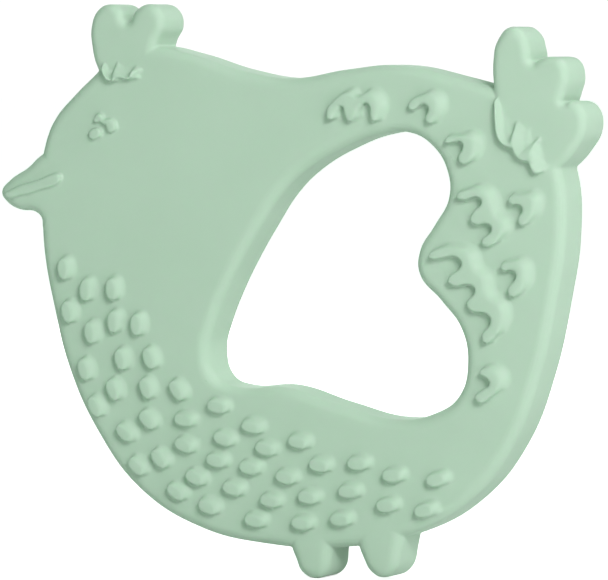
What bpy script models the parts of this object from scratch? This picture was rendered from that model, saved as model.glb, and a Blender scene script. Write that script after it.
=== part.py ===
"""A teething ring moulded in one shot of silicone, in the shape of a hen.

X runs from the beak to the tail, Z is the hen's height and the relief faces -Y. The origin
is the centre of the whole object's box. The regions of the moulding (plate, comb, beak, tail
and two feet) are separate solids, parted by REGION_GAP. Sizes are in millimetres, and MM
turns them into metres.
"""

import math

import bmesh
import bpy

MM = 0.001

# Overall sizes
WIDTH = 105.3  # from the beak's tip to the tail
HEIGHT = 96.0  # from the feet to the comb
THICKNESS = 10.0  # of the plate, without the relief
EDGE_RADIUS = 1.4  # on the plate, the beak and the feet, and round the hand opening
LOBE_EDGE_RADIUS = 0.9  # on the comb and the tail, whose scallops are tighter
REGION_GAP = 0.3  # between neighbouring regions

# Relief on the front face
RELIEF_HEIGHT = 0.9
RELIEF_EDGE = 0.35  # slope outside a mark's flat top
RELIEF_ROOT = 0.6  # depth of a mark inside the plate
KNOB_LENGTH = 4.2
KNOB_WIDTH = 2.8
KNOB_TOP = 0.7  # flat top of a knob, as a share of its foot
EYE_DIAMETER = 2.4

SPAN_STEPS = 4  # straight pieces between two outline points
MARK_STEPS = 2
ROUND_STEPS = 12  # sides of a knob

# The outlines below are drawn on a sheet of this size and stretched to WIDTH and HEIGHT.
DRAWN_WIDTH = 105.3
DRAWN_HEIGHT = 96.0

PLATE = [
    (-36.0, 34.8), (-39.4, 31.6), (-42.5, 28.2), (-44.2, 24.6), (-45.1, 19.0), (-44.9, 11.2),
    (-44.4, 5.0), (-42.7, -3.2), (-39.9, -13.3), (-34.7, -23.9), (-26.8, -33.5), (-15.7, -39.7),
    (-4.3, -42.3), (8.7, -42.7), (22.0, -40.0), (32.4, -33.6), (39.8, -24.6), (44.5, -13.2),
    (47.4, -0.8), (49.0, 10.2), (48.3, 20.2), (44.5, 28.7), (38.0, 32.9), (29.3, 35.5),
    (19.7, 37.3), (10.7, 36.6), (0.5, 35.1), (-8.7, 36.4), (-18.5, 39.2), (-25.5, 40.4),
    (-31.5, 38.6),
]  # fmt: skip

HAND_OPENING = [
    (-13.7, -5.4), (-11.6, -0.5), (-8.6, 4.8), (-4.8, 10.6), (-0.6, 15.8), (3.7, 19.2),
    (10.4, 22.9), (17.3, 25.6), (22.3, 26.2), (26.3, 24.6), (29.0, 20.6), (29.3, 15.8),
    (26.7, 11.0), (24.3, 6.8), (24.4, 3.1), (28.6, -1.0), (32.0, -5.6), (33.0, -11.1),
    (31.3, -17.2), (26.7, -20.2), (19.8, -21.2), (9.0, -19.3), (-0.9, -16.5), (-9.4, -16.6),
    (-13.3, -15.1), (-15.0, -10.4),
]  # fmt: skip

COMB = [
    (-34.3, 37.2), (-33.4, 36.0), (-31.8, 34.9), (-30.4, 35.4), (-28.8, 35.0), (-27.4, 36.4),
    (-25.4, 38.0), (-24.7, 40.4), (-24.3, 42.0), (-23.0, 44.6), (-23.6, 46.9), (-25.4, 48.0),
    (-27.4, 46.9), (-29.4, 44.8), (-30.9, 46.9), (-32.8, 48.0), (-34.4, 46.9), (-35.5, 44.4),
    (-35.4, 41.0),
]  # fmt: skip

BEAK = [
    (-44.6, 22.4), (-48.3, 19.8), (-51.4, 17.9), (-52.6, 16.0), (-51.8, 14.4), (-49.6, 13.5),
    (-46.8, 13.0), (-45.0, 11.2), (-40.5, 11.5), (-40.5, 22.0),
]  # fmt: skip

TAIL = [
    (37.6, 34.4), (38.0, 29.6), (38.8, 25.6), (40.6, 24.1), (41.8, 22.7), (43.6, 21.9),
    (44.6, 20.3), (46.2, 20.0), (48.0, 21.3), (50.8, 24.2), (52.6, 27.4), (52.0, 30.4),
    (50.3, 31.4), (48.8, 31.2), (48.8, 32.8), (49.5, 35.6), (48.6, 38.2), (46.8, 38.9),
    (44.8, 38.1), (43.6, 37.8), (42.7, 40.2), (41.9, 42.8), (40.0, 44.0), (38.2, 41.9),
    (37.5, 38.2),
]  # fmt: skip

LEFT_FOOT = [
    (1.2, -42.2), (2.0, -44.6), (3.0, -46.8), (5.2, -48.0), (7.0, -46.6), (7.6, -43.6),
    (7.6, -38.6), (1.0, -38.6),
]  # fmt: skip

RIGHT_FOOT = [
    (13.4, -41.4), (14.3, -44.2), (15.4, -46.2), (17.2, -47.4), (19.1, -46.0), (20.1, -43.0),
    (20.1, -38.6), (13.4, -38.6),
]  # fmt: skip

# Oval knobs on the breast: the centre, and how far the knob leans back from lying level.
KNOBS = [
    (-40.3, 3.2, 86), (-36.2, -0.2, 91), (-31.3, -0.1, 86), (-39.6, -4.1, 78), (-35.3, -7.4, 80),
    (-31.0, -5.5, 88), (-26.7, -5.9, 86), (-36.6, -13.9, 72), (-29.7, -12.0, 75),
    (-24.3, -11.7, 68), (-31.2, -17.2, 66), (-25.0, -16.8, 66), (-19.3, -17.0, 55),
    (-34.6, -20.1, 62), (-11.9, -19.5, 8), (-24.8, -22.1, 45), (-18.0, -21.9, 10),
    (-29.0, -24.4, 40), (-5.6, -22.7, 12), (-10.8, -24.9, 18), (-18.0, -26.2, 20), (2.9, -25.0, 10),
    (-3.1, -26.3, 12), (-22.6, -28.6, 48), (-12.1, -28.6, 12), (-26.8, -30.0, 42), (-6.0, -29.6, 8),
    (6.7, -28.8, 8), (0.6, -31.0, 10), (-16.0, -31.6, 24), (-9.1, -33.2, 15), (-19.5, -34.1, 32),
    (-2.2, -35.0, 8), (4.7, -34.2, 6), (-13.6, -36.4, 22), (-5.1, -38.4, 10), (3.5, -38.6, 4),
    (13.6, -28.3, 0), (19.9, -30.1, -2), (27.7, -30.5, -12), (12.0, -33.0, 0), (18.8, -35.1, -4),
    (25.6, -35.7, -12), (10.5, -37.7, 0),
]  # fmt: skip

# Wing feathers, drawn round their flat tops
WING_MARKS = {
    "two_arches": [
        (8.5, 28.7), (8.2, 29.8), (9.6, 31.9), (12.1, 33.2), (13.9, 32.6), (15.9, 33.2),
        (17.7, 31.8), (17.7, 29.6), (16.8, 28.4), (16.1, 28.9), (16.0, 30.8), (15.4, 31.4),
        (14.1, 30.5), (13.2, 28.9), (12.2, 28.4), (11.5, 29.4), (10.9, 30.9), (10.2, 30.3),
        (9.4, 28.8),
    ],
    "arch_top": [
        (22.8, 31.2), (23.4, 30.5), (25.6, 31.5), (26.4, 30.9), (25.9, 28.9), (26.6, 28.3),
        (27.5, 28.8), (28.4, 31.6), (27.2, 33.1), (24.8, 32.8),
    ],
    "arch_shoulder": [
        (29.0, 25.2), (30.4, 25.1), (31.9, 25.2), (32.2, 24.4), (31.4, 22.6), (31.9, 21.7),
        (33.4, 22.0), (34.6, 24.0), (34.1, 26.1), (31.7, 26.3),
    ],
    "two_waves": [
        (31.4, 16.2), (33.1, 17.3), (36.0, 17.5), (37.6, 15.8), (38.2, 13.6), (40.0, 11.6),
        (39.2, 9.6), (36.8, 8.1), (35.8, 8.7), (37.6, 10.9), (37.0, 11.7), (34.8, 11.6),
        (33.8, 12.4), (34.4, 13.7), (35.8, 15.4), (35.0, 16.1), (32.6, 15.6),
    ],
    "arch_under_tail": [
        (40.5, 15.8), (42.6, 16.5), (45.0, 16.2), (45.4, 14.8), (44.2, 12.3), (42.7, 11.5),
        (42.2, 12.4), (43.0, 14.2), (42.2, 14.9), (41.0, 14.9),
    ],
    "three_waves": [
        (26.4, 6.1), (27.8, 7.4), (31.0, 7.9), (33.8, 6.8), (34.7, 4.4), (36.4, 2.8), (37.0, 0.2),
        (39.4, -2.0), (39.4, -5.0), (37.9, -7.0), (36.3, -7.9), (35.8, -6.8), (37.4, -4.2),
        (36.6, -3.1), (34.0, -2.7), (33.1, -1.6), (34.6, 0.8), (33.8, 1.6), (30.9, 1.4),
        (29.8, 2.2), (32.2, 5.0), (31.3, 6.1), (28.6, 5.9), (27.1, 5.7),
    ],
    "arch_side": [
        (39.3, 4.7), (40.9, 5.5), (43.2, 5.2), (43.9, 3.2), (42.9, 0.6), (41.3, -0.2), (40.6, 0.6),
        (42.1, 3.4), (41.4, 4.1), (39.9, 4.0),
    ],
    "arch_low": [
        (35.5, -12.8), (36.9, -11.9), (38.9, -12.8), (39.4, -14.6), (37.6, -16.6), (35.5, -17.7),
        (34.7, -16.8), (35.8, -15.7), (37.3, -14.4), (36.6, -13.6),
    ],
}  # fmt: skip

EYE_CENTRE = (-34.3, 26.2)
LASH = [
    (-34.7, 28.4), (-33.8, 29.3), (-32.2, 28.7), (-30.9, 27.4), (-31.2, 26.4), (-32.0, 26.6),
    (-32.8, 27.9), (-34.2, 28.0),
]  # fmt: skip

# Raised rims where the comb and the tail meet the plate, drawn round their flat tops
COMB_RIM = [
    (-33.6, 38.0), (-33.0, 36.4), (-31.8, 35.4), (-30.4, 35.9), (-28.9, 35.5), (-27.8, 36.6),
    (-27.2, 37.8), (-28.0, 37.8), (-29.0, 36.6), (-29.7, 37.2), (-30.2, 38.6), (-30.9, 38.3),
    (-31.7, 36.3), (-32.4, 36.9), (-32.7, 38.2),
]  # fmt: skip
TAIL_RIM = [
    (38.5, 32.4), (38.5, 29.4), (39.2, 26.1), (40.7, 24.8), (42.1, 23.2), (43.8, 22.3),
    (44.9, 20.8), (46.1, 20.5), (47.5, 21.8), (46.9, 22.6), (45.9, 22.0), (45.2, 23.2),
    (44.7, 25.5), (43.5, 24.9), (42.6, 25.5), (41.8, 28.0), (41.1, 28.1), (40.4, 27.2),
    (39.7, 29.0), (39.5, 32.4),
]  # fmt: skip

# Raised band between the halves of the beak, which ends on the plate
MOUTH = [
    (-51.6, 15.5), (-50.0, 16.6), (-47.0, 17.5), (-43.0, 19.0), (-43.0, 17.4), (-47.0, 16.1),
    (-49.5, 15.2), (-51.2, 14.9),
]  # fmt: skip
MOUTH_CORNER = [
    (-44.2, 18.4), (-42.8, 19.0), (-42.0, 18.7), (-42.4, 17.9), (-44.2, 17.1),
]  # fmt: skip

SILICONE = (0.43, 0.61, 0.46, 1.0)  # pale sage green


def clear_scene():
    for obj in list(bpy.data.objects):
        bpy.data.objects.remove(obj)


def stretched(points):
    """Drawn points as metres, at the overall width and height."""
    across = WIDTH / DRAWN_WIDTH * MM
    upward = HEIGHT / DRAWN_HEIGHT * MM
    return [(x * across, z * upward) for x, z in points]


def signed_area(points):
    ends = points[1:] + points[:1]
    return sum(a[0] * b[1] - b[0] * a[1] for a, b in zip(points, ends)) / 2


def wound(points, anticlockwise):
    """The points in the asked direction, which decides on which side Blender's offset lies."""
    return points if (signed_area(points) > 0) == anticlockwise else points[::-1]


def add_spline(curve, points):
    spline = curve.splines.new("BEZIER")
    spline.bezier_points.add(len(points) - 1)
    for anchor, (x, z) in zip(spline.bezier_points, points):
        anchor.co = (x, z, 0)
        anchor.handle_left_type = "AUTO"
        anchor.handle_right_type = "AUTO"
    spline.use_cyclic_u = True


def mesh_of(curve, name):
    """The curve's solid as a mesh whose caps and sides are joined and face out."""
    guide = bpy.data.objects.new(name, curve)
    bpy.context.scene.collection.objects.link(guide)
    bpy.context.view_layer.update()
    graph = bpy.context.evaluated_depsgraph_get()
    mesh = bpy.data.meshes.new_from_object(guide.evaluated_get(graph))
    bpy.data.objects.remove(guide)
    shape = bmesh.new()
    shape.from_mesh(mesh)
    bmesh.ops.remove_doubles(shape, verts=shape.verts, dist=0.001 * MM)
    bmesh.ops.dissolve_degenerate(shape, edges=shape.edges, dist=0.001 * MM)
    bmesh.ops.recalc_face_normals(shape, faces=shape.faces)
    shape.to_mesh(mesh)
    shape.free()
    mesh.name = name
    return mesh


def slab(name, loops, low, high, edge=0.0, grow=0.0, steps=SPAN_STEPS, edge_steps=1):
    """A mesh between the levels low and high over an outline and the openings in it.

    edge rounds its rims inside the outline, and grow moves the outline outwards.
    """
    curve = bpy.data.curves.new(name, "CURVE")
    curve.dimensions = "2D"
    curve.fill_mode = "BOTH"
    curve.resolution_u = steps
    curve.extrude = ((high - low) / 2 - edge) * MM
    curve.bevel_depth = edge * MM
    curve.bevel_resolution = edge_steps
    curve.offset = (grow - edge) * MM
    for number, points in enumerate(loops):
        add_spline(curve, wound(stretched(points), number == 0))
    mesh = mesh_of(curve, name)
    for vertex in mesh.vertices:
        vertex.co.z += (low + high) / 2 * MM
    return mesh


def knob(name, place, length, width, lean):
    """A mesh of an oval knob that narrows from the front face to its flat top."""
    (centre_x, centre_z), = stretched([place])
    shape = bmesh.new()
    foot = bmesh.ops.create_circle(shape, cap_ends=True, segments=ROUND_STEPS, radius=1)
    face = foot["verts"][0].link_faces[0]
    for rise, share in ((RELIEF_ROOT + RELIEF_HEIGHT / 2, 1.0), (RELIEF_HEIGHT / 2, KNOB_TOP)):
        raised = bmesh.ops.extrude_discrete_faces(shape, faces=[face])["faces"][0]
        bmesh.ops.translate(shape, vec=(0, 0, rise * MM), verts=raised.verts)
        bmesh.ops.scale(shape, vec=(share, share, 1), verts=raised.verts)
        face = raised
    bmesh.ops.contextual_create(shape, geom=[edge for edge in shape.edges if edge.is_boundary])
    bmesh.ops.scale(shape, vec=(length / 2 * MM, width / 2 * MM, 1), verts=shape.verts)
    turn = math.radians(-lean)
    level = (THICKNESS / 2 - RELIEF_ROOT) * MM
    for vertex in shape.verts:
        x, z = vertex.co.x, vertex.co.y
        vertex.co.x = centre_x + x * math.cos(turn) - z * math.sin(turn)
        vertex.co.y = centre_z + x * math.sin(turn) + z * math.cos(turn)
        vertex.co.z += level
    bmesh.ops.recalc_face_normals(shape, faces=shape.faces)
    mesh = bpy.data.meshes.new(name)
    shape.to_mesh(mesh)
    shape.free()
    return mesh


def joined(name, meshes):
    """One mesh that holds several closed bodies."""
    shape = bmesh.new()
    for mesh in meshes:
        shape.from_mesh(mesh)
    whole = bpy.data.meshes.new(name)
    shape.to_mesh(whole)
    shape.free()
    return whole


def silicone(name):
    material = bpy.data.materials.new(name + "_silicone")
    material.use_nodes = True
    shader = material.node_tree.nodes["Principled BSDF"]
    shader.inputs["Base Color"].default_value = SILICONE
    shader.inputs["Roughness"].default_value = 0.5
    shader.inputs["Metallic"].default_value = 0.0
    return material


def place(name, mesh, frame):
    obj = bpy.data.objects.new(name, mesh)
    bpy.context.scene.collection.objects.link(obj)
    obj.parent = frame
    return obj


def region(name, mesh, frame):
    """A region of the moulding, in its own material."""
    mesh.materials.append(silicone(name))
    return place(name, mesh, frame)


def tool(name, mesh, frame):
    """A helper that only cuts or adds to a region."""
    obj = place(name, mesh, frame)
    obj.hide_render = True
    obj.display_type = "WIRE"
    return obj


def combine(target, operation, helper):
    step = target.modifiers.new(helper.name, "BOOLEAN")
    step.operation = operation
    step.solver = "EXACT"
    step.object = helper


def plate_slab(name, outline, edge, openings=()):
    half = THICKNESS / 2
    return slab(name, [outline, *openings], -half, half, edge)


def through_cutter(name, outline, frame):
    """The outline grown by the gap, thicker than the plate."""
    mesh = slab(name, [outline], -THICKNESS, THICKNESS, grow=REGION_GAP)
    return tool(name, mesh, frame)


def raised_mark(name, outline):
    low = THICKNESS / 2 - RELIEF_ROOT
    high = THICKNESS / 2 + RELIEF_HEIGHT
    return slab(name, [outline], low, high, RELIEF_EDGE, RELIEF_EDGE, MARK_STEPS, 0)


def plate_relief(frame):
    """The knobs, feathers, eye and mouth corner, as one helper to add to the plate."""
    marks = [knob("knob", (x, z), KNOB_LENGTH, KNOB_WIDTH, lean) for x, z, lean in KNOBS]
    marks += [raised_mark(name, outline) for name, outline in WING_MARKS.items()]
    marks.append(knob("eye", EYE_CENTRE, EYE_DIAMETER, EYE_DIAMETER, 0))
    marks.append(raised_mark("lash", LASH))
    marks.append(raised_mark("mouth_corner", MOUTH_CORNER))
    return tool("plate_relief", joined("plate_relief", marks), frame)


def add_mark(target, name, outline, frame):
    combine(target, "UNION", tool(name, raised_mark(name, outline), frame))


def build():
    clear_scene()
    frame = bpy.data.objects.new("hen", None)
    frame.rotation_euler = (math.radians(90), 0, 0)
    frame.location = (0, RELIEF_HEIGHT / 2 * MM, 0)
    bpy.context.scene.collection.objects.link(frame)

    plate_mesh = plate_slab("body_plate", PLATE, EDGE_RADIUS, [HAND_OPENING])
    plate = region("body_plate", plate_mesh, frame)
    for name, outline, rim in (("comb", COMB, COMB_RIM), ("tail", TAIL, TAIL_RIM)):
        part = region(name, plate_slab(name, outline, LOBE_EDGE_RADIUS), frame)
        add_mark(part, name + "_rim", rim, frame)
        combine(plate, "DIFFERENCE", through_cutter(name + "_seat", outline, frame))
    combine(plate, "UNION", plate_relief(frame))

    plate_cutter = through_cutter("plate_clearance", PLATE, frame)
    beak = region("beak", plate_slab("beak", BEAK, EDGE_RADIUS), frame)
    add_mark(beak, "mouth", MOUTH, frame)
    combine(beak, "DIFFERENCE", plate_cutter)
    for name, outline in (("left_foot", LEFT_FOOT), ("right_foot", RIGHT_FOOT)):
        foot = region(name, plate_slab(name, outline, EDGE_RADIUS), frame)
        combine(foot, "DIFFERENCE", plate_cutter)


build()
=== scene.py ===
"""A teething ring in the shape of a hen: one soft moulding of pale sage silicone, stood on its feet.

The plate, comb, beak, tail, feet and relief are modelled one by one, then fused into one skin
and softened a little, because the hen is a single moulding. Outlines are in millimetres, X and Z.
"""

import math

import bmesh
import bpy
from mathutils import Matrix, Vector
from mathutils.geometry import interpolate_bezier


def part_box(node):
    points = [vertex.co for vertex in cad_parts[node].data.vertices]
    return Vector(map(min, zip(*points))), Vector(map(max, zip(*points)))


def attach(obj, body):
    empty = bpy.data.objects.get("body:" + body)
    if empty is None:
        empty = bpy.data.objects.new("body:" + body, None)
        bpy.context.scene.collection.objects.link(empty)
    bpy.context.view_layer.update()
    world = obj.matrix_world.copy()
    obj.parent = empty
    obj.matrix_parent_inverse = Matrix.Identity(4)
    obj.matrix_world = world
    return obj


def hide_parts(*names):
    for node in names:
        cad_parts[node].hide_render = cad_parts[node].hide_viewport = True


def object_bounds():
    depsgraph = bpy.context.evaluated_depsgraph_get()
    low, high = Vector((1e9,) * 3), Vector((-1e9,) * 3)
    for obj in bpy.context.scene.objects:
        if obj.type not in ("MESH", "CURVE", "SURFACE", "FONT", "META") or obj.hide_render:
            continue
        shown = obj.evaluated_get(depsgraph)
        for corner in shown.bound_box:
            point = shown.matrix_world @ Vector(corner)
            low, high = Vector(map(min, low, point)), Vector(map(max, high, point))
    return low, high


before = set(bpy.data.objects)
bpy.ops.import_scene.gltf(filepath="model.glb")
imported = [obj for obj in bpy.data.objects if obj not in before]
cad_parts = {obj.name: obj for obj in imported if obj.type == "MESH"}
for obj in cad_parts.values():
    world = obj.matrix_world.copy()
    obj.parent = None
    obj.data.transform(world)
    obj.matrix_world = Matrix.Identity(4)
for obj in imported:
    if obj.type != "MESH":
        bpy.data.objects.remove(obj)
cad_low, cad_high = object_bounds()

MM = 0.001

# Depths, front to back, from the solids
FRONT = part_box("left_foot")[0].y  # face of the plate
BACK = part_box("left_foot")[1].y
RELIEF_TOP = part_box("body_plate")[0].y
DRAWN_WIDTH = 105.3  # size of the solids that the outlines are drawn for
DRAWN_HEIGHT = 96.0
ACROSS = (cad_high.x - cad_low.x) / DRAWN_WIDTH
UPWARD = (cad_high.z - cad_low.z) / DRAWN_HEIGHT

RIM = 1.9 * MM  # rounding of the plate's, beak's and feet's edges
LOBE_RIM = 1.5 * MM  # of the comb's and tail's
RELIEF_ROOT = 1.0 * MM  # how deep a mark starts below the face
RELIEF_SINK = 0.25 * MM  # how far the back of a feather tip dips below the face
RELIEF_PROFILE = (  # rings of a mark: reach outside its outline, share of the ramp, and height
    (0.00 * MM, 1.00, 0.00),
    (0.00 * MM, 0.60, 0.16),
    (0.00 * MM, 0.25, 0.48),
    (-0.05 * MM, -0.02, 0.84),
    (-0.30 * MM, -0.25, 1.00),
)
RAMP_SIDE = Vector((0.87, 0.5))  # the ramped side of every mark, across and up
MARK_RAMP = 1.5 * MM  # how far a mark's ramp runs out
KNOB_RAMP = 1.2 * MM
FACE_RAMP = 0.35 * MM  # of the eye, the lash and the mouth
MARK_HEIGHT = 1.55 * (FRONT - RELIEF_TOP)  # feathers stand half as high again as the solids'
KNOB_HEIGHT = 1.45 * (FRONT - RELIEF_TOP)
FACE_HEIGHT = 0.9 * (FRONT - RELIEF_TOP)
KNOB_LENGTH = 3.7 * MM
KNOB_WIDTH = 2.3 * MM
EYE_LENGTH = 2.3 * MM
EYE_WIDTH = 1.8 * MM
EYE_LEAN = -20

SPAN_STEPS = 7  # straight pieces between two outline points
RIM_STEPS = 5
SKIN_GRAIN = 0.20 * MM  # size of the squares that the fused skin is made of
SKIN_SOFTENING = 3  # rounds of smoothing all over
SOFTENING_STRENGTH = 0.5
SKIN_SHARE = 0.19  # share of the skin's faces that stay after it is thinned

HANDLE_SHARE = 0.39  # length of an outline's handles, as a share of the step to the next point
KNOB_SIDES = 24
KNOB_BLUNTNESS = 0.85  # under 1 squares the oval a little

# Colours of the silicone
SAGE = (0.510, 0.645, 0.532, 1)
SAGE_DEEP = (0.495, 0.630, 0.517, 1)
DRIFT_SCALE = 55  # of the slow drift between the two colours
DRIFT_START, DRIFT_END = 0.3, 0.7

# How the silicone takes the light
GLOW_WEIGHT = 0.25  # share of the light that goes in and comes out again
GLOW_SPREAD = (0.5, 1.0, 0.6)  # red, green and blue
GLOW_DEPTH = 0.4 * MM
SILICONE_IOR = 1.41
SHINE = 0.3
BLOOM_SCALE = 900  # of the fine moulded skin
ROUGH_LOW, ROUGH_HIGH = 0.46, 0.58
SKIN_BUMP = 0.06
SKIN_BUMP_DEPTH = 0.05 * MM

# View
VIEW_TURN = 23.5
VIEW_RISE = 2.6
VIEW_DISTANCE = 0.876
SENSOR = 36
LENS = 311.9
NEAREST, FARTHEST = 0.05, 20
AIM_X = 3.45 * MM
AIM_Z = 0.2 * MM

# Studio
TABLE_RADIUS = 9.0
TABLE_SIDES = 64
TABLE_WHITE = 0.85
TABLE_ROUGHNESS = 0.9
TABLE_GLOW = 0.75  # brightness that only the camera sees, so the table meets the room
ROOM_GLOW = 0.40
ROOM_TINT = (0.73, 1.0, 0.81, 1)  # a green light, there only to keep the creases green
BACKDROP_GLOW = 1.05  # what the camera sees behind the table
LIGHT_DISTANCE = 0.8
KEY_FROM = (0.62, -0.66, 0.5)
KEY_SIZE = 0.25
KEY_WATTS = 3.35
SIDE_FROM = (1.0, -0.6, 0.0)
SIDE_SIZE = 0.6
SIDE_WATTS = 1.55
BACK_FROM = (0.5, 0.45, 0.8)
BACK_SIZE = 0.4
BACK_WATTS = 1.5
REAR_FROM = (-0.6, 0.8, 0.3)
REAR_SIZE = 0.5
REAR_WATTS = 1.3

PLATE = [
    (-36.4, 35.3), (-39.9, 32.1), (-43.1, 28.6), (-44.9, 24.8), (-45.9, 19.0), (-45.7, 11.2),
    (-45.2, 4.9), (-43.5, -3.4), (-40.7, -13.6), (-35.4, -24.3), (-27.3, -34.1), (-15.9, -40.3),
    (-4.4, -42.5), (8.7, -42.7), (22.2, -40.0), (32.8, -34.0), (40.3, -24.9), (45.0, -13.4),
    (47.9, -0.9), (49.5, 10.2), (48.8, 20.3), (44.8, 29.0), (38.1, 33.2), (29.4, 35.8),
    (19.7, 37.6), (10.7, 36.9), (0.5, 35.4), (-8.6, 36.7), (-18.4, 39.5), (-25.5, 40.7),
    (-31.7, 39.1),
]  # fmt: skip

HAND_OPENING = [
    (-13.2, -5.4), (-11.2, -0.6), (-8.4, 4.8), (-4.8, 10.7), (-1.0, 16.2), (3.1, 20.0),
    (9.8, 23.8), (16.8, 26.2), (22.0, 26.4), (25.9, 24.3), (28.5, 20.3), (28.8, 15.8),
    (26.3, 11.3), (23.7, 7.1), (23.6, 3.2), (27.6, -1.3), (31.0, -5.6), (32.2, -11.0),
    (30.7, -16.8), (26.4, -19.8), (19.8, -21.0), (9.0, -18.8), (-0.9, -16.1), (-9.4, -16.3),
    (-13.0, -14.9), (-14.4, -10.4),
]  # fmt: skip

COMB = [
    (-35.0, 36.9), (-33.9, 35.5), (-31.9, 34.4), (-30.4, 35.0), (-28.6, 34.5), (-27.1, 36.0),
    (-25.0, 37.7), (-24.2, 40.3), (-23.8, 41.7), (-22.6, 44.1), (-23.3, 46.7), (-25.4, 47.8),
    (-27.7, 46.9), (-29.4, 44.6), (-30.6, 46.8), (-32.8, 47.8), (-34.9, 46.9), (-36.2, 44.1),
    (-36.1, 40.8),
]  # fmt: skip

BEAK = [
    (-44.9, 22.7), (-48.6, 20.0), (-51.8, 18.0), (-53.4, 15.9), (-52.3, 14.1), (-50.0, 12.9),
    (-47.2, 12.6), (-45.9, 11.6), (-45.4, 9.6), (-40.5, 9.6), (-40.5, 22.3),
]  # fmt: skip

TAIL = [
    (36.8, 34.4), (37.2, 29.5), (38.0, 25.2), (40.0, 23.5), (41.3, 22.1), (43.1, 21.3),
    (44.1, 19.7), (46.4, 19.5), (48.4, 20.8), (51.3, 23.8), (53.1, 27.3), (52.4, 30.7),
    (50.4, 31.8), (49.1, 31.5), (49.3, 32.7), (50.0, 35.6), (49.0, 38.4), (46.8, 39.0),
    (44.6, 38.4), (43.9, 38.0), (43.2, 40.1), (42.3, 42.6), (39.9, 43.9), (37.5, 41.7),
    (36.7, 38.2),
]  # fmt: skip

LEFT_FOOT = [
    (0.5, -42.3), (1.4, -44.8), (2.6, -47.1), (5.2, -48.0), (7.3, -46.8), (8.0, -43.6),
    (7.8, -38.3), (0.7, -38.1),
]  # fmt: skip

RIGHT_FOOT = [
    (12.7, -41.5), (13.7, -44.4), (15.0, -46.5), (17.2, -47.4), (19.4, -46.2), (20.5, -43.1),
    (20.3, -38.3), (13.2, -38.2),
]  # fmt: skip

# Oval knobs on the breast: the centre, and how far the knob leans back from lying level.
KNOBS = [
    (-40.6, 3.0, 86), (-36.5, -0.5, 91), (-31.6, -0.3, 86), (-39.9, -4.3, 78), (-35.6, -7.7, 80),
    (-31.3, -5.8, 88), (-27.0, -6.2, 86), (-36.8, -14.0, 72), (-29.9, -12.1, 75),
    (-24.6, -11.8, 68), (-31.4, -17.3, 66), (-25.2, -16.9, 66), (-19.5, -17.1, 55),
    (-34.8, -20.2, 62), (-12.1, -19.6, 8), (-25.0, -22.2, 45), (-18.2, -22.0, 10),
    (-29.2, -24.5, 40), (-5.8, -22.8, 12), (-11.0, -25.0, 18), (-18.2, -26.3, 20),
    (2.7, -25.1, 10), (-3.3, -26.4, 12), (-22.8, -28.7, 48), (-12.3, -28.7, 12),
    (-27.0, -30.1, 42), (-6.2, -29.7, 8), (6.5, -28.9, 8), (0.4, -31.1, 10), (-16.2, -31.7, 24),
    (-9.3, -33.3, 15), (-19.7, -34.2, 32), (-2.4, -35.1, 8), (4.5, -34.3, 6), (-13.8, -36.5, 22),
    (-5.3, -38.5, 10), (3.3, -38.7, 4), (13.4, -28.4, 0), (19.7, -30.2, -2), (27.5, -30.6, -12),
    (11.8, -33.1, 0), (18.6, -35.2, -4), (25.4, -35.8, -12), (10.3, -37.8, 0),
]  # fmt: skip

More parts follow.
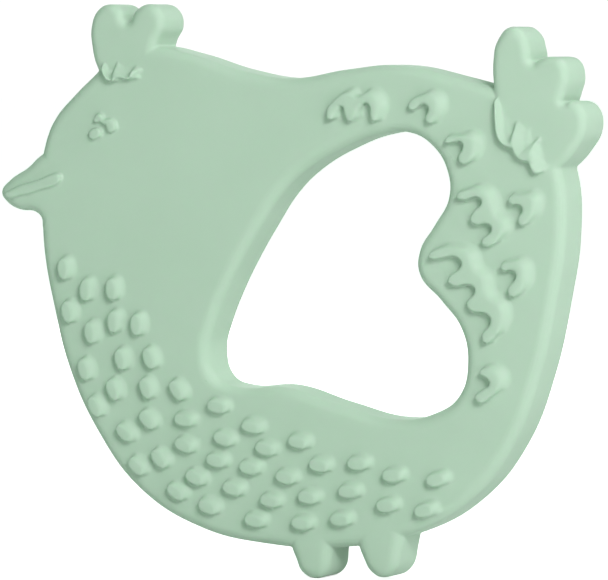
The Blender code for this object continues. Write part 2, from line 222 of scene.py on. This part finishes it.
# Wing feathers, drawn round their flat tops
WING_MARKS = {
    "two_arches": [
        (8.2, 28.6), (7.9, 29.7), (9.3, 31.8), (11.8, 33.1), (13.6, 32.5), (15.6, 33.1),
        (17.4, 31.7), (17.4, 29.5), (16.5, 28.3), (15.8, 28.8), (15.7, 30.7), (15.1, 31.3),
        (13.8, 30.4), (12.9, 28.8), (11.9, 28.3), (11.2, 29.3), (10.6, 30.8), (9.9, 30.2),
        (9.1, 28.7),
    ],
    "arch_top": [
        (22.5, 30.9), (23.1, 30.2), (25.3, 31.2), (26.1, 30.6), (25.6, 28.6), (26.3, 28.0),
        (27.2, 28.5), (28.1, 31.3), (26.9, 32.8), (24.5, 32.5),
    ],
    "arch_shoulder": [
        (29.0, 25.0), (30.4, 24.9), (31.9, 25.0), (32.2, 24.2), (31.4, 22.4), (31.9, 21.5),
        (33.4, 21.8), (34.6, 23.8), (34.1, 25.9), (31.7, 26.1),
    ],
    "two_waves": [
        (31.1, 16.1), (32.8, 17.2), (35.7, 17.4), (37.3, 15.7), (37.9, 13.5), (39.7, 11.5),
        (38.9, 9.5), (36.5, 8.0), (35.5, 8.6), (37.3, 10.8), (36.7, 11.6), (34.5, 11.5),
        (33.5, 12.3), (34.1, 13.6), (35.5, 15.3), (34.7, 16.0), (32.3, 15.5),
    ],
    "arch_under_tail": [
        (40.2, 15.8), (42.3, 16.5), (44.7, 16.2), (45.1, 14.8), (43.9, 12.3), (42.4, 11.5),
        (41.9, 12.4), (42.7, 14.2), (41.9, 14.9), (40.7, 14.9),
    ],
    "three_waves": [
        (26.2, 6.1), (27.6, 7.4), (30.8, 7.9), (33.6, 6.8), (34.5, 4.4), (36.2, 2.8), (36.8, 0.2),
        (39.2, -2.0), (39.2, -5.0), (37.7, -7.0), (36.1, -7.9), (35.6, -6.8), (37.2, -4.2),
        (36.4, -3.1), (33.8, -2.7), (32.9, -1.6), (34.4, 0.8), (33.6, 1.6), (30.7, 1.4),
        (29.6, 2.2), (32.0, 5.0), (31.1, 6.1), (28.4, 5.9), (26.9, 5.7),
    ],
    "arch_side": [
        (38.8, 4.7), (40.4, 5.5), (42.7, 5.2), (43.4, 3.2), (42.4, 0.6), (40.8, -0.2), (40.1, 0.6),
        (41.6, 3.4), (40.9, 4.1), (39.4, 4.0),
    ],
    "arch_low": [
        (35.2, -12.8), (36.6, -11.9), (38.6, -12.8), (39.1, -14.6), (37.3, -16.6), (35.2, -17.7),
        (34.4, -16.8), (35.5, -15.7), (37.0, -14.4), (36.3, -13.6),
    ],
}  # fmt: skip

EYE_CENTRE = (-34.9, 25.9)
LASH = [
    (-35.1, 28.1), (-34.9, 28.7), (-34.3, 29.3), (-33.6, 29.1), (-33.1, 28.4), (-32.3, 28.5),
    (-31.5, 28.2), (-31.1, 27.6), (-31.0, 26.8), (-31.7, 26.2), (-32.4, 26.3), (-32.7, 26.8),
    (-32.8, 27.4), (-33.4, 27.6), (-33.9, 28.0), (-34.5, 27.8),
]  # fmt: skip

# Raised band between the halves of the beak, which ends in a bump on the cheek
MOUTH = [
    (-51.9, 15.6), (-50.9, 16.2), (-48.8, 17.1), (-47.2, 17.5), (-45.0, 18.2), (-43.5, 18.8),
    (-42.4, 19.1), (-41.6, 18.9), (-41.4, 18.3), (-41.9, 17.5), (-43.1, 16.9), (-44.6, 16.5),
    (-45.8, 16.2), (-47.2, 15.7), (-48.8, 15.4), (-50.6, 14.9), (-51.6, 15.0),
]  # fmt: skip

# Feather tips where the comb and the tail lie on the plate: the third number is the share of
# the relief's height, because each tip stands up at its end and sinks into the face behind it
FEATHER_TIPS = {
    "comb_front": [
        (-33.6, 37.5, 0.5), (-33.4, 36.7, 1), (-33.0, 35.7, 1), (-32.4, 35.0, 1), (-31.5, 34.8, 1),
        (-30.9, 35.0, 1), (-31.5, 35.6, 0.7), (-32.0, 36.1, 0.4), (-32.0, 37.0, 0.15),
        (-32.3, 37.9, 0), (-33.1, 38.1, 0.1),
    ],
    "comb_middle": [
        (-30.7, 38.3, 0.1), (-31.1, 37.2, 0.5), (-31.4, 36.1, 0.9), (-31.2, 35.2, 1),
        (-30.4, 35.3, 1), (-29.6, 35.3, 1), (-28.9, 35.1, 1), (-28.1, 35.2, 1), (-27.8, 35.7, 0.9),
        (-28.4, 36.1, 0.6), (-28.6, 36.4, 0.4), (-28.6, 37.4, 0.2), (-29.3, 38.1, 0),
    ],
    "comb_back": [
        (-27.4, 37.2, 0.4), (-28.0, 36.6, 0.8), (-28.1, 36.0, 1), (-27.7, 35.3, 1),
        (-27.3, 36.0, 1), (-26.8, 36.8, 0.6), (-27.0, 37.4, 0.1),
    ],
    "tail_edge": [
        (37.8, 32.2, 0.3), (37.7, 30.3, 1), (37.8, 28.2, 1), (38.0, 26.5, 1), (38.6, 25.2, 1),
        (39.5, 24.4, 1), (40.6, 24.1, 1), (41.4, 23.8, 1), (41.5, 24.8, 1), (40.9, 25.4, 0.9),
        (40.3, 25.9, 0.5), (39.9, 26.5, 0.4), (39.7, 27.7, 0.3), (39.5, 29.6, 0.15),
        (38.8, 31.9, 0),
    ],
    "tail_middle": [
        (41.3, 28.3, 0.3), (41.0, 27.1, 0.7), (40.7, 25.9, 1), (40.6, 24.8, 1), (40.9, 24.0, 1),
        (41.2, 23.1, 1), (41.8, 22.4, 1), (42.6, 22.0, 1), (43.5, 21.9, 1), (44.6, 21.6, 1),
        (44.6, 23.0, 1), (44.1, 24.2, 0.8), (43.5, 24.9, 0.5), (43.4, 26.1, 0.4),
        (43.5, 27.6, 0.2), (42.4, 28.6, 0.1),
    ],
    "tail_back": [
        (45.4, 25.7, 0.3), (44.6, 25.2, 0.5), (44.0, 24.2, 0.8), (43.6, 23.0, 1), (43.7, 21.9, 1),
        (44.0, 21.0, 1), (44.5, 20.1, 1), (45.4, 20.0, 0.9), (46.3, 20.5, 0.5), (47.0, 21.5, 0.2),
        (46.8, 23.2, 0), (46.1, 24.9, 0),
    ],
}  # fmt: skip


def flowing(points):
    """A smooth closed outline through the points: x and z in metres, and a share of height."""
    anchors = [Vector((p[0] * ACROSS, p[1] * UPWARD, p[2] if p[2:] else 1.0)) for p in points]
    before = anchors[-1:] + anchors[:-1]
    after = anchors[1:] + anchors[:1]
    arriving, leaving = [], []
    for last, here, following in zip(before, anchors, after):
        back, ahead = (here - last).xy.length, (following - here).xy.length
        heading = (here - last) / back + (following - here) / ahead
        heading /= heading.xy.length
        arriving.append(here - heading * back * HANDLE_SHARE)
        leaving.append(here + heading * ahead * HANDLE_SHARE)
    line = []
    spans = zip(anchors, leaving, arriving[1:] + arriving[:1], after)
    for here, handle_out, handle_in, following in spans:
        line += interpolate_bezier(here, handle_out, handle_in, following, SPAN_STEPS + 1)[:-1]
    return line


def widened(line, by, lit_by=0.0):
    """The outline moved outwards, by lit_by further where it faces the upper right."""
    ends = line[1:] + line[:1]
    turn = math.copysign(1, sum(a.x * b.y - b.x * a.y for a, b in zip(line, ends)))
    moved = []
    for last, here, following in zip(line[-1:] + line[:-1], line, ends):
        along = (following - last).xy.normalized() * turn
        out = Vector((along.y, -along.x))
        reach = by + lit_by * max(0.0, out.dot(RAMP_SIDE))
        moved.append(Vector((here.x + out.x * reach, here.y + out.y * reach, here.z)))
    return moved


def add_layers(shape, stacks):
    """A closed solid from stacks of rings: one round the outside and one in each opening."""
    fresh, first, last = [], [], []
    for rings in stacks:
        loops = []
        for ring in rings:
            verts = [shape.verts.new(point) for point in ring]
            fresh += verts
            loops.append([shape.edges.new(pair) for pair in zip(verts, verts[1:] + verts[:1])])
        for low, high in zip(loops, loops[1:]):
            bmesh.ops.bridge_loops(shape, edges=low + high)
        first += loops[0]
        last += loops[-1]
    for edges in (first, last):
        bmesh.ops.triangle_fill(shape, use_beauty=True, edges=edges, normal=(0, -1, 0))
    faces = {face for vert in fresh for face in vert.link_faces}
    bmesh.ops.recalc_face_normals(shape, faces=list(faces))


def add_slab(shape, outline, openings, rim):
    """A slab of the plate's thickness whose edges are rounded by a quarter circle."""
    levels = []
    for step in range(RIM_STEPS + 1):
        angle = math.radians(90) * step / RIM_STEPS
        levels.append((rim * (1 - math.sin(angle)), rim * (1 - math.cos(angle))))
    stacks = []
    for line, side in [(outline, 1)] + [(opening, -1) for opening in openings]:
        rings = []
        for inset, sink in levels:
            ring = widened(line, -side * inset)
            rings.append([(point.x, BACK - sink, point.y) for point in ring])
        for inset, sink in reversed(levels):
            ring = widened(line, -side * inset)
            rings.append([(point.x, FRONT + sink, point.y) for point in ring])
        stacks.append(rings)
    add_layers(shape, stacks)


def add_relief(shape, line, ramp, height):
    """A raised mark over an outline, steep at the lower left and ramped at the upper right."""
    rings = []
    for flare, lean, rise in RELIEF_PROFILE:
        ring = []
        for point in widened(line, flare, lean * ramp):
            share = min(max(point.z, 0.0), 1.0)
            depth = FRONT + RELIEF_SINK * (1 - share) - rise * share * height
            ring.append((point.x, depth, point.y))
        rings.append(ring)
    foot = [(x, FRONT + RELIEF_ROOT, z) for x, _, z in rings[0]]
    add_layers(shape, [[foot, *rings]])


def oval(place, length, width, lean):
    """A closed outline of a blunt oval: its centre, and how far it leans back."""
    tilt = math.radians(lean)
    along, up = Vector((math.cos(tilt), -math.sin(tilt))), Vector((math.sin(tilt), math.cos(tilt)))
    line = []
    for step in range(KNOB_SIDES):
        angle = math.radians(360) * step / KNOB_SIDES
        reach, rise = math.cos(angle), math.sin(angle)
        reach = math.copysign(abs(reach) ** KNOB_BLUNTNESS, reach) * length / 2
        rise = math.copysign(abs(rise) ** KNOB_BLUNTNESS, rise) * width / 2
        point = Vector((place[0] * ACROSS, place[1] * UPWARD)) + along * reach + up * rise
        line.append(Vector((point.x, point.y, 1.0)))
    return line


def with_modifiers_applied(piece):
    bpy.context.view_layer.update()
    graph = bpy.context.evaluated_depsgraph_get()
    mesh = bpy.data.meshes.new_from_object(piece.evaluated_get(graph))
    piece.modifiers.clear()
    piece.data = mesh


def fused_skin(shape, name):
    """One skin round everything in the shape, softened and then thinned."""
    mesh = bpy.data.meshes.new(name)
    shape.to_mesh(mesh)
    shape.free()
    piece = bpy.data.objects.new(name, mesh)
    bpy.context.scene.collection.objects.link(piece)
    skin = piece.modifiers.new("skin", "REMESH")
    skin.mode = "VOXEL"
    skin.voxel_size = SKIN_GRAIN
    with_modifiers_applied(piece)

    soft = piece.modifiers.new("softening", "SMOOTH")
    soft.factor = SOFTENING_STRENGTH
    soft.iterations = SKIN_SOFTENING
    thin = piece.modifiers.new("thinning", "DECIMATE")
    thin.ratio = SKIN_SHARE
    with_modifiers_applied(piece)
    piece.data.name = name
    piece.data.shade_smooth()
    return piece


def hen_body():
    """The whole moulding: plate with the hand opening, comb, beak, tail, feet and relief."""
    shape = bmesh.new()
    add_slab(shape, flowing(PLATE), [flowing(HAND_OPENING)], RIM)
    for outline, rim in (
        (COMB, LOBE_RIM),
        (TAIL, LOBE_RIM),
        (BEAK, RIM),
        (LEFT_FOOT, RIM),
        (RIGHT_FOOT, RIM),
    ):
        add_slab(shape, flowing(outline), [], rim)
    for outline in (*WING_MARKS.values(), *FEATHER_TIPS.values()):
        add_relief(shape, flowing(outline), MARK_RAMP, MARK_HEIGHT)
    for outline in (MOUTH, LASH):
        add_relief(shape, flowing(outline), FACE_RAMP, FACE_HEIGHT)
    for x, z, lean in KNOBS:
        knob = oval((x, z), KNOB_LENGTH, KNOB_WIDTH, lean)
        add_relief(shape, knob, KNOB_RAMP, KNOB_HEIGHT)
    eye = oval(EYE_CENTRE, EYE_LENGTH, EYE_WIDTH, EYE_LEAN)
    add_relief(shape, eye, FACE_RAMP, FACE_HEIGHT)
    return fused_skin(shape, "hen")


def silicone():
    """Pale sage silicone: matt, faintly translucent, with a fine skin and a slight drift of colour."""
    material = bpy.data.materials.new("sage_silicone")
    material.use_nodes = True
    nodes, links = material.node_tree.nodes, material.node_tree.links
    shader = nodes["Principled BSDF"]
    shader.inputs["Subsurface Weight"].default_value = GLOW_WEIGHT
    shader.inputs["Subsurface Radius"].default_value = GLOW_SPREAD
    shader.inputs["Subsurface Scale"].default_value = GLOW_DEPTH
    shader.inputs["IOR"].default_value = SILICONE_IOR
    shader.inputs["Specular IOR Level"].default_value = SHINE
    place = nodes.new("ShaderNodeTexCoord")

    drift = nodes.new("ShaderNodeTexNoise")
    drift.inputs["Scale"].default_value = DRIFT_SCALE
    drift.inputs["Detail"].default_value = 3
    links.new(place.outputs["Object"], drift.inputs["Vector"])
    tint = nodes.new("ShaderNodeValToRGB")
    tint.color_ramp.elements[0].position = DRIFT_START
    tint.color_ramp.elements[0].color = SAGE_DEEP
    tint.color_ramp.elements[1].position = DRIFT_END
    tint.color_ramp.elements[1].color = SAGE
    links.new(drift.outputs["Fac"], tint.inputs["Fac"])
    links.new(tint.outputs["Color"], shader.inputs["Base Color"])

    bloom = nodes.new("ShaderNodeTexNoise")
    bloom.inputs["Scale"].default_value = BLOOM_SCALE
    bloom.inputs["Detail"].default_value = 4
    links.new(place.outputs["Object"], bloom.inputs["Vector"])
    sheen = nodes.new("ShaderNodeMapRange")
    sheen.inputs["To Min"].default_value = ROUGH_LOW
    sheen.inputs["To Max"].default_value = ROUGH_HIGH
    links.new(bloom.outputs["Fac"], sheen.inputs["Value"])
    links.new(sheen.outputs["Result"], shader.inputs["Roughness"])

    skin = nodes.new("ShaderNodeBump")
    skin.inputs["Strength"].default_value = SKIN_BUMP
    skin.inputs["Distance"].default_value = SKIN_BUMP_DEPTH
    links.new(bloom.outputs["Fac"], skin.inputs["Height"])
    links.new(skin.outputs["Normal"], shader.inputs["Normal"])
    return material


def table_top():
    """A plain white table that the hen stands on."""
    shape = bmesh.new()
    bmesh.ops.create_circle(shape, cap_ends=True, segments=TABLE_SIDES, radius=TABLE_RADIUS)
    bmesh.ops.translate(shape, vec=(0, 0, cad_low.z), verts=shape.verts)
    mesh = bpy.data.meshes.new("table_top")
    shape.to_mesh(mesh)
    shape.free()
    floor = bpy.data.objects.new("table_top", mesh)
    bpy.context.scene.collection.objects.link(floor)
    white = bpy.data.materials.new("white_table")
    white.use_nodes = True
    nodes, links = white.node_tree.nodes, white.node_tree.links
    matt = nodes["Principled BSDF"]
    matt.inputs["Base Color"].default_value = (TABLE_WHITE, TABLE_WHITE, TABLE_WHITE, 1)
    matt.inputs["Roughness"].default_value = TABLE_ROUGHNESS
    bright = nodes.new("ShaderNodeEmission")
    bright.inputs["Strength"].default_value = TABLE_GLOW
    both = nodes.new("ShaderNodeAddShader")
    path = nodes.new("ShaderNodeLightPath")
    seen = nodes.new("ShaderNodeMixShader")
    links.new(matt.outputs["BSDF"], both.inputs[0])
    links.new(bright.outputs["Emission"], both.inputs[1])
    links.new(path.outputs["Is Camera Ray"], seen.inputs["Fac"])
    links.new(matt.outputs["BSDF"], seen.inputs[1])
    links.new(both.outputs["Shader"], seen.inputs[2])
    links.new(seen.outputs["Shader"], nodes["Material Output"].inputs["Surface"])
    mesh.materials.append(white)


def soft_light(name, direction, size, watts, aim):
    """A square studio light that shines on the aim from a direction."""
    lamp = bpy.data.lights.new(name, "AREA")
    lamp.size = size
    lamp.energy = watts
    light = bpy.data.objects.new(name, lamp)
    away = Vector(direction).normalized()
    light.location = aim + away * LIGHT_DISTANCE
    light.rotation_euler = away.to_track_quat("Z", "Y").to_euler()
    bpy.context.scene.collection.objects.link(light)


def studio():
    """The room and four soft lights: upper right, right side, and two from behind.

    The room lights the hen in a pale green and looks white to the camera.
    """
    scene = bpy.context.scene
    scene.view_settings.view_transform = "Standard"
    world = bpy.data.worlds.new("white_room")
    scene.world = world
    world.use_nodes = True
    nodes, links = world.node_tree.nodes, world.node_tree.links
    room = nodes["Background"]
    room.inputs["Color"].default_value = ROOM_TINT
    room.inputs["Strength"].default_value = ROOM_GLOW
    backdrop = nodes.new("ShaderNodeBackground")
    backdrop.inputs["Color"].default_value = (1, 1, 1, 1)
    backdrop.inputs["Strength"].default_value = BACKDROP_GLOW
    path = nodes.new("ShaderNodeLightPath")
    mix = nodes.new("ShaderNodeMixShader")
    links.new(path.outputs["Is Camera Ray"], mix.inputs["Fac"])
    links.new(room.outputs["Background"], mix.inputs[1])
    links.new(backdrop.outputs["Background"], mix.inputs[2])
    links.new(mix.outputs["Shader"], nodes["World Output"].inputs["Surface"])
    centre = (cad_low + cad_high) / 2
    soft_light("key", KEY_FROM, KEY_SIZE, KEY_WATTS, centre)
    soft_light("side_fill", SIDE_FROM, SIDE_SIZE, SIDE_WATTS, centre)
    soft_light("back_light", BACK_FROM, BACK_SIZE, BACK_WATTS, centre)
    soft_light("rear_fill", REAR_FROM, REAR_SIZE, REAR_WATTS, centre)


def camera():
    """A long lens from the tail's side of the front, a little above the hen's middle."""
    data = bpy.data.cameras.new("camera")
    data.sensor_width = SENSOR
    data.lens = LENS
    turn, rise = math.radians(VIEW_TURN), math.radians(VIEW_RISE)
    away = Vector((
        math.sin(turn) * math.cos(rise),
        -math.cos(turn) * math.cos(rise),
        math.sin(rise),
    ))
    aim = Vector((AIM_X, FRONT, AIM_Z))
    eye = bpy.data.objects.new("camera", data)
    eye.location = aim + away * VIEW_DISTANCE
    eye.rotation_mode = "QUATERNION"
    eye.rotation_quaternion = away.to_track_quat("Z", "Y")
    data.clip_start, data.clip_end = NEAREST, FARTHEST
    bpy.context.scene.collection.objects.link(eye)
    bpy.context.scene.camera = eye


def main():
    camera()
    studio()
    table_top()
    hen = hen_body()
    hen.data.materials.append(silicone())
    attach(hen, "root")
    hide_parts("body_plate", "comb", "beak", "tail", "left_foot", "right_foot")


main()
